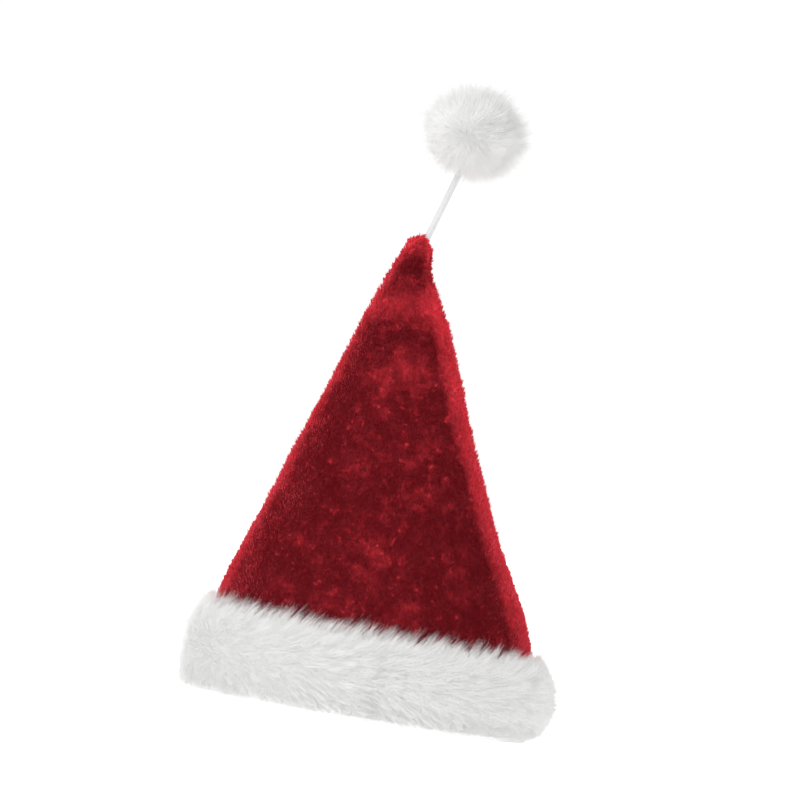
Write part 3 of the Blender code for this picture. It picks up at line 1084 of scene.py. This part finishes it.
@dataclass(frozen=True)
class Crown:
    """The cone of red plush: a wall of cloth, and the nap that stands on it."""

    form: HatForm
    stem: Stem
    columns: int = 180
    rows: int = 100
    inner_rows: int = 46
    cap_rows: int = 6
    bunching: float = 1.3
    nap_room: float = 1.9 * MM
    dimple: float = 2.5 * MM
    hole_room: float = 0.2 * MM
    ripple: float = 0.5 * MM
    ripple_size: float = 22 * MM
    nap_from: float = 48 * MM
    flat_size: tuple[float, float] = (0.66, 0.34)
    light_through_nap: float = 0.5
    nap: Strands = Strands(
        count=145000,
        length=3.3 * MM,
        length_spread=0.35,
        width=0.40 * MM,
        segments=1,
        root_lift=math.radians(55),
        tip_lift=math.radians(30),
        lift_spread=math.radians(18),
        yaw_spread=math.radians(35),
        wave_size=30 * MM,
        wave_turn=math.radians(240),
        tuft_size=2.6 * MM,
        tuft_pull=0.75,
        tuft_sway=0.30,
        tuft_spread=0.5,
        stray=0.08,
        wild_lift=0.0,
        roll=2.2,
        cut_share=0.6,
        own_normal=0.05,
        seed=31,
    )
    # Patches where the nap is painted lighter (positive lift) or darker (negative lift). Most are painted light:
    # shade in the crease, a highlight at the tip, shade and highlight in bands on the crumples below it, and shade on
    # the left flank; the others lighten or darken the nap in patches.
    presses_and_painted_light: tuple[Fold, ...] = (
        # painted shade in the crease at the right
        Fold(turn=-43, height=0.130, turn_spread=6, height_spread=0.080, lift=-0.15),
        # painted highlight at the tip, then painted shade and highlight in bands on the crumples below it
        Fold(turn=-90, height=0.333, turn_spread=90, height_spread=0.008, lift=0.8),
        Fold(turn=-80, height=0.313, turn_spread=45, height_spread=0.007, lift=-0.35),
        Fold(turn=-85, height=0.287, turn_spread=50, height_spread=0.012, lift=0.55),
        Fold(turn=-90, height=0.262, turn_spread=40, height_spread=0.008, lift=-0.15),
        Fold(turn=-80, height=0.241, turn_spread=30, height_spread=0.008, lift=0.30),
        Fold(turn=-55, height=0.120, turn_spread=12, height_spread=0.060, lift=-0.08),
        # painted shade on the left flank
        Fold(turn=-137, height=0.200, turn_spread=20, height_spread=0.090, lift=-0.30),
        Fold(turn=-105, height=0.105, turn_spread=18, height_spread=0.025, lift=0.15),
        Fold(turn=-12, height=0.075, turn_spread=14, height_spread=0.030, lift=-0.32),
        Fold(turn=-90, height=0.085, turn_spread=55, height_spread=0.040, lift=-0.10),
    )

    # Painted sheen: the nap is painted lighter near the cone's left and right sides, and along a broad band on the
    # right that is partly nap laid over along the fold and partly painted sheen; the band fades out towards the tip.
    left_rim_sheen: float = 1.12
    left_rim_sheen_width: float = 3.4 * MM
    right_rim_sheen: float = 0.90
    right_rim_sheen_width: float = 3.4 * MM
    strip_press_and_sheen: float = 0.84
    strip_width: float = 12.0 * MM
    strip_edge: float = 1.3 * MM
    strip_top: float = 0.288
    strip_fade: float = 6 * MM
    tip_from: float = 0.295

    def heights(self, rows: int, low: float, high: float) -> np.ndarray:
        """Heights from low to high, closer together towards the tip."""
        rise = 1 - (1 - np.linspace(0, 1, rows)) ** self.bunching
        return low + (high - low) * rise

    def wall(self, heights: np.ndarray, out: float) -> list[np.ndarray]:
        """Rings of the wall.

        Args:
            heights: the rings' heights.
            out: how far out of the cone's outer face they lie.

        Returns:
            The rings, each with its soft ripples.
        """
        around = turns(self.columns)
        rings = []
        for height in heights:
            plain = self.form.points(around, height, out) / self.ripple_size
            waves = self.ripple * np.array([noise.noise(point) for point in plain.tolist()])
            rings.append(self.form.points(around, height, out + waves))
        return rings

    def build(self) -> list[bpy.types.Object]:
        """The wall and its nap.

        Returns:
            The pieces.
        """
        low, high = self.form.sections[0].height, self.form.sections[-1].height
        outer = self.wall(self.heights(self.rows, low, high), -self.nap_room)
        inner_top = high - 2 * self.form.cloth
        inner = self.wall(self.heights(self.inner_rows, low, inner_top), -self.form.cloth)
        hole = self.stem.radius + self.hole_room
        mouth = self.stem.ring(hole, self.dimple / 2, self.columns)
        throat = self.stem.ring(hole, -2 * self.dimple, self.columns)
        cap = self.bridge(outer[-1], mouth, self.dimple / 2)
        ceiling = self.bridge(inner[-1], throat, 0.0)
        rings = [*outer, *cap, mouth, throat, *reversed(ceiling), *reversed(inner)]
        wall = loft("crown_plush", rings, Closing.ROUND)
        dress(wall, PlushFinish().material(), BackingFinish().material())
        outside = (len(outer) + len(cap) + 1) * self.columns
        indices = np.zeros(len(wall.data.polygons), np.int32)
        indices[outside:] = 1
        wall.data.polygons.foreach_set("material_index", indices)
        self.declare(wall)
        return [wall, *self.grow_nap(wall)]

    def bridge(self, start: np.ndarray, end: np.ndarray, bulge: float) -> list[np.ndarray]:
        """Rings between two others, raised in the middle.

        Args:
            start: the first ring.
            end: the last ring.
            bulge: how far the middle is raised.

        Returns:
            The rings in between.
        """
        rings = []
        for share in np.linspace(0, 1, self.cap_rows + 2)[1:-1]:
            ring = start * (1 - share) + end * share
            ring[:, 2] += bulge * math.sin(math.pi * share)
            rings.append(ring)
        return rings

    def declare(self, wall: bpy.types.Object) -> None:
        """Puts the wall on the hat's body in place of the plain crown solid."""
        seat(wall, "red_plush", "crown")

    def grow_nap(self, wall: bpy.types.Object) -> list[bpy.types.Object]:
        """The nap on the front half and on the back half.

        Args:
            wall: the wall.

        Returns:
            The two pieces.
        """
        red = PlushFinish().material(self.light_through_nap)
        places = vertices_of(wall.data)
        tip = np.array([self.stem.exit[0], 0.0, self.stem.exit[2]])
        lie = tip - places
        lie /= np.linalg.norm(lie, axis=1)[:, None] + 1e-9
        outside = np.zeros(len(places))
        outside[: (self.rows + self.cap_rows) * self.columns] = 1.0
        outside[places[:, 2] < self.nap_from] = 0.0
        around = np.arctan2(places[:, 1] / self.form.sections[0].depth, self.across(places))
        # painted highlight and shade for the nap's colour: the folds above, the painted rim sheen and the band on the
        # right
        nap_press_and_painted_light = Fold.total(self.presses_and_painted_light, around, places[:, 2]) + self.painted_rims_and_strip(places)
        near_tip = np.clip((places[:, 2] - self.tip_from) / (tip[2] - self.tip_from), 0, 1)
        set_field(wall.data, NAP_PRESS_AND_PAINTED_LIGHT, nap_press_and_painted_light)
        set_field(wall.data, LIE, lie)
        set_field(wall.data, FUR_LENGTH, 1.0 - 0.3 * near_tip)
        set_field(wall.data, FUR_TUFT, np.ones(len(places)))
        napped = []
        for name, keep in (("crown_nap_front", places[:, 1] < 0), ("crown_nap_back", places[:, 1] >= 0)):
            set_field(wall.data, FUR_DENSITY, outside * keep * (1 + near_tip))
            napped.append(seat(self.nap.grow(wall, name, red), "red_plush"))
            drop_fields(wall.data, FUR_DENSITY)
        drop_fields(wall.data, LIE, FUR_LENGTH, FUR_TUFT)
        return napped

    def painted_rims_and_strip(self, places: np.ndarray) -> np.ndarray:
        """Painted sheen: how much lighter the nap is painted along the cone's two sides, with a broad band on the
        right that is partly nap laid over along the fold and partly painted sheen.

        Args:
            places: where the wall's points are.

        Returns:
            How much lighter the nap is painted at each point.
        """
        level = self.form.section(places[:, 2])
        from_left = np.maximum(places[:, 0] - level[:, 1] - self.nap_room, 0)
        from_right = np.maximum(level[:, 2] - places[:, 0] - self.nap_room, 0)
        # painted sheen along each side, fading inwards
        left = self.left_rim_sheen * np.exp(-from_left / self.left_rim_sheen_width)
        right = self.right_rim_sheen * np.exp(-from_right / self.right_rim_sheen_width)
        # the band on the right: partly nap laid over along the fold, partly painted sheen
        strip_press_and_sheen = self.strip_press_and_sheen / (1 + np.exp((from_right - self.strip_width) / self.strip_edge))
        return left + right + strip_press_and_sheen / (1 + np.exp((places[:, 2] - self.strip_top) / self.strip_fade))

    def across(self, places: np.ndarray) -> np.ndarray:
        """How far each point is to the right of the cone's middle, scaled to its depth there."""
        level = self.form.section(places[:, 2])
        middle, half_width = (level[:, 1] + level[:, 2]) / 2, (level[:, 2] - level[:, 1]) / 2
        return (places[:, 0] - middle) / half_width * level[:, 3] / self.form.sections[0].depth


@dataclass(frozen=True)
class CuffPoint:
    """A point of the cuff's section, and the fur there.

    It lies this far out from the cone's cloth and up from the floor. Its fur has this share of the full
    length, rises this much for each step along the band, is lifted by this angle more than elsewhere,
    is drawn into tufts this much more, and grows this densely.
    """

    out: float
    up: float
    length: float = 0.0
    rise: float = 0.0
    lift: float = 0.0
    tuft: float = 1.0
    density: float = 1.0


@dataclass(frozen=True)
class Cuff:
    """The band of long white fur round the hat's edge."""

    form: HatForm
    lip: float = 4.8 * MM
    taller_at_left: float = 0.09
    middle_height: float = 28 * MM
    flare: float = 0.45
    flare_spread: float = 24.0
    end_turn: float = 15.0
    flatter: float = math.radians(19)
    tuck: float = 9.0 * MM
    tuck_raise: float = 5.0 * MM
    tuck_top: float = 30 * MM
    tuck_spread: float = 26.0
    tuck_least: float = 1.5 * MM
    columns: int = 220
    rows_between: int = 2
    section: tuple[CuffPoint, ...] = (
        CuffPoint(out=-0.0028, up=0.0000, density=0.0),
        CuffPoint(out=0.0058, up=0.0000, density=0.0),
        CuffPoint(out=0.0082, up=0.0018, density=0.0),
        CuffPoint(out=0.0106, up=0.0050, length=0.60, rise=-1.2, lift=0.45, tuft=6.0, density=0.6),
        CuffPoint(out=0.0126, up=0.0092, length=0.70, rise=-1.0, lift=0.45, tuft=6.0, density=1.1),
        CuffPoint(out=0.0140, up=0.0150, length=0.80, rise=-0.60, lift=0.15, tuft=3.0, density=1.1),
        CuffPoint(out=0.0145, up=0.0230, length=1.00, rise=-0.25),
        CuffPoint(out=0.0144, up=0.0320, length=1.00, rise=0.0),
        CuffPoint(out=0.0134, up=0.0405, length=1.00, rise=0.15),
        CuffPoint(out=0.0112, up=0.0475, length=1.00, rise=0.60, lift=0.10, tuft=2.0),
        CuffPoint(out=0.0078, up=0.0528, length=1.10, rise=1.60, lift=0.30, tuft=4.5, density=0.6),
        CuffPoint(out=0.0034, up=0.0555, length=1.05, rise=1.80, lift=0.60, tuft=5.0, density=0.5),
        CuffPoint(out=0.0010, up=0.0530, density=0.0),
        CuffPoint(out=0.0005, up=0.0330, density=0.0),
        CuffPoint(out=0.0003, up=0.0048, density=0.0),
        CuffPoint(out=-0.0028, up=0.0048, density=0.0),
    )
    fur: Strands = Strands(
        count=39000,
        length=15 * MM,
        length_spread=0.45,
        width=0.22 * MM,
        segments=2,
        root_lift=math.radians(36),
        tip_lift=math.radians(4),
        lift_spread=math.radians(6),
        yaw_spread=math.radians(10),
        wave_size=24 * MM,
        wave_turn=math.radians(28),
        tuft_size=4.2 * MM,
        tuft_pull=0.15,
        tuft_sway=0.14,
        tuft_spread=0.6,
        stray=0.05,
        wild_lift=math.radians(45),
        roll=0.8,
        cut_share=0.0,
        own_normal=0.17,
        seed=47,
    )

    def rings(self, fields: np.ndarray) -> list[np.ndarray]:
        """The band's rings.

        Args:
            fields: for each ring, how far out and how high it is, and the rest of its cuff point.

        Returns:
            The rings.
        """
        around = turns(self.columns)
        taller = 1 - self.taller_at_left * np.cos(around)
        off_right = (np.degrees(around) + 180) % 360 - 180
        at_right = np.exp(-0.5 * (off_right / self.tuck_spread) ** 2)
        rings = []
        for out, up in fields[:, :2]:
            height = np.where(up > self.lip, self.lip + (up - self.lip) * taller, up)
            if out > self.tuck_least:
                tucked = at_right * max(1 - up / self.tuck_top, 0) ** 2
                out = np.maximum(out - self.tuck * tucked, self.tuck_least)
                height = height + self.tuck_raise * tucked
            ring = self.form.points(around, np.maximum(height, self.form.sections[0].height), out)
            ring[:, 2] = height
            rings.append(ring)
        return rings

    def fields(self) -> np.ndarray:
        """A row for each ring of the band, with rows added between the section's points."""
        table = np.array([(p.out, p.up, p.length, p.rise, p.lift, p.tuft, p.density) for p in self.section])
        table = np.vstack([table, table[:1]])
        steps = np.arange(0, len(self.section), 1 / self.rows_between)
        return np.column_stack([np.interp(steps, np.arange(len(table)), column) for column in table.T])

    def build(self) -> list[bpy.types.Object]:
        """The band and its fur, in four pieces.

        Returns:
            The pieces.
        """
        fields = self.fields()
        band = loft("cuff_band", self.rings(fields), Closing.ROUND)
        dress(band, FurSkinFinish().material())
        seat(band, "white_fur", "cuff")
        return [band, *self.grow_fur(band, np.repeat(fields, self.columns, axis=0))]

    def lie(self, places: np.ndarray, rise: np.ndarray) -> np.ndarray:
        """The way the fur lies: to the right at the front, rising at the top and dropping below.

        Args:
            places: where the band's points are.
            rise: how much the fur rises at each for a step along the band.

        Returns:
            The direction at each point.
        """
        base = self.form.sections[0]
        along = np.column_stack([-places[:, 1] / base.depth**2, places[:, 0] / base.right**2])
        flare = self.flare * self.near_ends(places) * (places[:, 2] / self.middle_height - 1)
        return np.column_stack([along / np.linalg.norm(along, axis=1)[:, None], rise + flare])

    def near_ends(self, places: np.ndarray) -> np.ndarray:
        """How near each point is to where the fur turns out of the band's two ends, from 0 to 1."""
        base = self.form.sections[0]
        turn = np.degrees(np.arctan2(places[:, 1] / base.depth, places[:, 0] / base.right))
        off_end = (turn - self.end_turn + 90) % 180 - 90
        return np.exp(-0.5 * (off_end / self.flare_spread) ** 2)

    def grow_fur(self, band: bpy.types.Object, fields: np.ndarray) -> list[bpy.types.Object]:
        """The fur on each quarter of the band.

        Args:
            band: the band.
            fields: the row of fields that each of its points has.

        Returns:
            The four pieces.
        """
        white = FurFinish().material()
        places = vertices_of(band.data)
        _, _, length, rise, lift, tuft, density = fields.T
        set_field(band.data, LIE, self.lie(places, rise))
        set_field(band.data, FUR_LENGTH, length)
        set_field(band.data, FUR_LIFT, lift - self.flatter * self.near_ends(places))
        set_field(band.data, FUR_TUFT, tuft)
        grown = []
        for name, quarter in (
            ("cuff_fur_front_left", (places[:, 1] < 0) & (places[:, 0] < 0)),
            ("cuff_fur_front_right", (places[:, 1] < 0) & (places[:, 0] >= 0)),
            ("cuff_fur_back_left", (places[:, 1] >= 0) & (places[:, 0] < 0)),
            ("cuff_fur_back_right", (places[:, 1] >= 0) & (places[:, 0] >= 0)),
        ):
            set_field(band.data, FUR_DENSITY, density * quarter)
            grown.append(seat(self.fur.grow(band, name, white), "white_fur"))
            drop_fields(band.data, FUR_DENSITY)
        drop_fields(band.data, LIE, FUR_LENGTH, FUR_LIFT, FUR_TUFT)
        return grown


@dataclass(frozen=True)
class Ball:
    """The ball of white fur on the stem's end."""

    stem: Stem
    core: tuple[float, float, float] = (26.8 * MM, 25.8 * MM, 20.6 * MM)
    off_line: tuple[float, float, float] = (-2.9 * MM, 0.0, -0.4 * MM)
    columns: int = 72
    rows: int = 44
    bare: float = 3.5 * MM
    # painted shade: the ball's strand tips darker than their roots, so that its edges read darker
    shaded_fur_tip: tuple[float, float, float] = (0.904, 0.905, 0.896)
    # the ball's skin is darker than the cuff's: painted shade where it shows between the strands
    skin_light: tuple[float, float, float] = (0.87, 0.87, 0.86)
    skin_dark: tuple[float, float, float] = (0.81, 0.81, 0.80)
    whorl: tuple[float, float, float] = (-0.38, -0.92, -0.14)
    whorl_spread: float = math.radians(16)
    whorl_lift: float = math.radians(12)
    side_off: float = math.radians(94)
    side_spread: float = math.radians(26)
    side_lift: float = math.radians(18)
    calm: float = 0.92
    back_spread: float = math.radians(34)
    back_lift: float = math.radians(34)
    swirl: float = 0.35
    swirl_size: float = 9 * MM
    droop: float = 0.06
    fur: Strands = Strands(
        count=42000,
        length=16.5 * MM,
        length_spread=0.55,
        width=0.22 * MM,
        segments=2,
        root_lift=math.radians(44),
        tip_lift=math.radians(18),
        lift_spread=math.radians(12),
        yaw_spread=math.radians(16),
        wave_size=18 * MM,
        wave_turn=math.radians(26),
        tuft_size=4.0 * MM,
        tuft_pull=0.60,
        tuft_sway=0.30,
        tuft_spread=0.9,
        stray=0.15,
        wild_lift=math.radians(55),
        roll=0.8,
        cut_share=0.0,
        own_normal=0.17,
        seed=63,
        scatter=0.50,
    )

    def build(self) -> list[bpy.types.Object]:
        """The core and its fur.

        Returns:
            The pieces.
        """
        core = self.head()
        dress(core, FurSkinFinish("white_ball_skin", self.skin_light, self.skin_dark).material())
        seat(core, "white_fur", "pompom")
        return [core, self.grow_fur(core)]

    def place(self) -> Matrix:
        """The matrix that puts a shape at the ball's middle, turned as the stem is."""
        return Matrix.Translation(self.off_line) @ self.stem.place(self.stem.above_exit)

    def head(self) -> bpy.types.Object:
        """The core, with a blind bore that the stem's end sits in."""
        place = self.place()
        bore = self.stem.radius + 0.3 * MM
        lowest = -math.acos(bore / self.core[0])
        stem_end = self.stem.place(self.stem.above_exit)
        rings = [self.level_ring(stem_end, bore, bore, 0.5 * MM)]
        for angle in np.linspace(lowest, math.pi / 2 - 0.02, self.rows):
            wide, deep, tall = self.core
            share = math.cos(angle)
            rings.append(self.level_ring(place, wide * share, deep * share, tall * math.sin(angle)))
        core = loft("ball_core", rings, Closing.OPEN)
        places = vertices_of(core.data).tolist()
        faces = [tuple(face.vertices) for face in core.data.polygons]
        bottom = tuple(reversed(range(self.columns)))
        top = tuple(range(len(places) - self.columns, len(places)))
        core.data.clear_geometry()
        core.data.from_pydata(places, [], [*faces, bottom, top])
        core.data.shade_smooth()
        return core

    def level_ring(self, place: Matrix, wide: float, deep: float, height: float) -> np.ndarray:
        """An ellipse round the upright line of a place.

        Args:
            place: the place.
            wide: its half width.
            deep: its half depth.
            height: how high it is above the place.

        Returns:
            The points.
        """
        return np.array(
            [place @ Vector((wide * math.cos(a), deep * math.sin(a), height)) for a in turns(self.columns)]
        )

    def grow_fur(self, core: bpy.types.Object) -> bpy.types.Object:
        """The ball's fur.

        Args:
            core: the core.

        Returns:
            The piece.
        """
        place = self.place()
        middle = np.array(place.translation)
        places = vertices_of(core.data)
        outward = places - middle
        away = -np.array(self.whorl) - np.array([0.0, 0.0, self.droop])
        swirls = np.array([noise.noise_vector(point) for point in (places / self.swirl_size).tolist()])
        towards = outward @ np.array(self.whorl) / np.linalg.norm(outward, axis=1)
        off = np.arccos(np.clip(towards, -1, 1))
        front = np.exp(-0.5 * (off / self.whorl_spread) ** 2)
        side = np.exp(-0.5 * ((off - self.side_off) / self.side_spread) ** 2)
        back = np.exp(-0.5 * ((math.pi - off) / self.back_spread) ** 2)
        set_field(core.data, LIE, away + self.swirl * swirls)
        lift = self.whorl_lift * front + self.side_lift * side + self.back_lift * back
        set_field(core.data, FUR_LIFT, lift)
        set_field(core.data, FUR_LENGTH, np.ones(len(places)))
        set_field(core.data, FUR_TUFT, 1 - self.calm * (1 - side))
        down = np.array(place.to_3x3() @ Vector((0.0, 0.0, 1.0)))
        from_line = outward - np.outer(outward @ down, down)
        near_bore = (np.linalg.norm(from_line, axis=1) < self.bare) & (outward @ down < 0)
        set_field(core.data, FUR_DENSITY, 1.0 - near_bore)
        white = FurFinish("white_ball_fur", self.shaded_fur_tip).material()
        fur = seat(self.fur.grow(core, "ball_fur", white), "white_fur")
        drop_fields(core.data, LIE, FUR_LENGTH, FUR_LIFT, FUR_TUFT, FUR_DENSITY)
        return fur


@dataclass(frozen=True)
class Studio:
    """A white floor, soft white light from all round, and the camera."""

    picture_side: float = 0.560
    picture_middle: tuple[float, float] = (-0.0087, 0.2217)
    camera_distance: float = 3.0
    camera_height: float = 0.150
    camera_roll: float = math.radians(9.2)
    sensor: float = 36.0
    floor_half: float = 30.0
    light_from_all_round: float = 1.04
    key_strength: float = 1.0
    key_angle: float = math.radians(75)
    key_from: tuple[float, float, float] = (-0.40, -0.52, 1.0)
    fill_strength: float = 0.9
    fill_angle: float = math.radians(60)
    fill_from: tuple[float, float, float] = (-0.75, -1.0, 0.16)

    def build(self) -> None:
        """The floor, the lights and the camera."""
        self.lay_floor()
        self.light()
        self.place_camera()

    def lay_floor(self) -> None:
        """A plain white floor that reaches out of sight."""
        half = self.floor_half
        mesh = bpy.data.meshes.new("floor")
        corners = [(-half, -half, 0.0), (half, -half, 0.0), (half, half, 0.0), (-half, half, 0.0)]
        mesh.from_pydata(corners, [], [(0, 1, 2, 3)])
        floor = bpy.data.objects.new("floor", mesh)
        bpy.context.scene.collection.objects.link(floor)
        dress(floor, FloorFinish().material())

    def light(self) -> None:
        """White light from all round, a soft key light from above and a soft low fill from the front."""
        world = bpy.data.worlds.new("studio")
        world.use_nodes = True
        background = world.node_tree.nodes["Background"]
        background.inputs["Color"].default_value = (1.0, 1.0, 1.0, 1.0)
        background.inputs["Strength"].default_value = self.light_from_all_round
        bpy.context.scene.world = world
        self.soft_lamp("key", self.key_strength, self.key_angle, self.key_from)
        self.soft_lamp("fill", self.fill_strength, self.fill_angle, self.fill_from)
        bpy.context.scene.view_settings.view_transform = "Standard"

    def soft_lamp(self, name: str, strength: float, angle: float, source: tuple[float, float, float]) -> None:
        """Adds a large, far lamp.

        Args:
            name: its name.
            strength: how bright it is.
            angle: how large it looks from the hat, in radians.
            source: the direction that it shines from.
        """
        data = bpy.data.lights.new(name, "SUN")
        data.energy = strength
        data.angle = angle
        lamp = bpy.data.objects.new(name, data)
        lamp.rotation_euler = Vector(source).to_track_quat("Z", "Y").to_euler()
        bpy.context.scene.collection.objects.link(lamp)

    def place_camera(self) -> None:
        """The camera, in front of the hat at the height of its cuff, and turned a little."""
        data = bpy.data.cameras.new("camera")
        data.sensor_width = self.sensor
        data.lens = self.sensor * self.camera_distance / self.picture_side
        camera = bpy.data.objects.new("camera", data)
        x, z = self.picture_middle
        middle = Vector((x, 0.0, z))
        place = Vector((x, -self.camera_distance, self.camera_height))
        aim = (middle - place).to_track_quat("-Z", "Y").to_matrix().to_4x4()
        roll = Matrix.Rotation(self.camera_roll, 4, "Z")
        camera.matrix_world = Matrix.Translation(place) @ aim @ roll
        bpy.context.scene.collection.objects.link(camera)
        bpy.context.scene.camera = camera


def main() -> None:
    """Loads the solids, builds each part over them, then the studio."""
    logging.basicConfig(level=logging.INFO, format="%(name)s %(message)s")
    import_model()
    form = HatForm()
    stem = Stem()
    stem.build()
    Cuff(form).build()
    Crown(form, stem).build()
    Ball(stem).build()
    Studio().build()


if __name__ == "__main__":
    main()
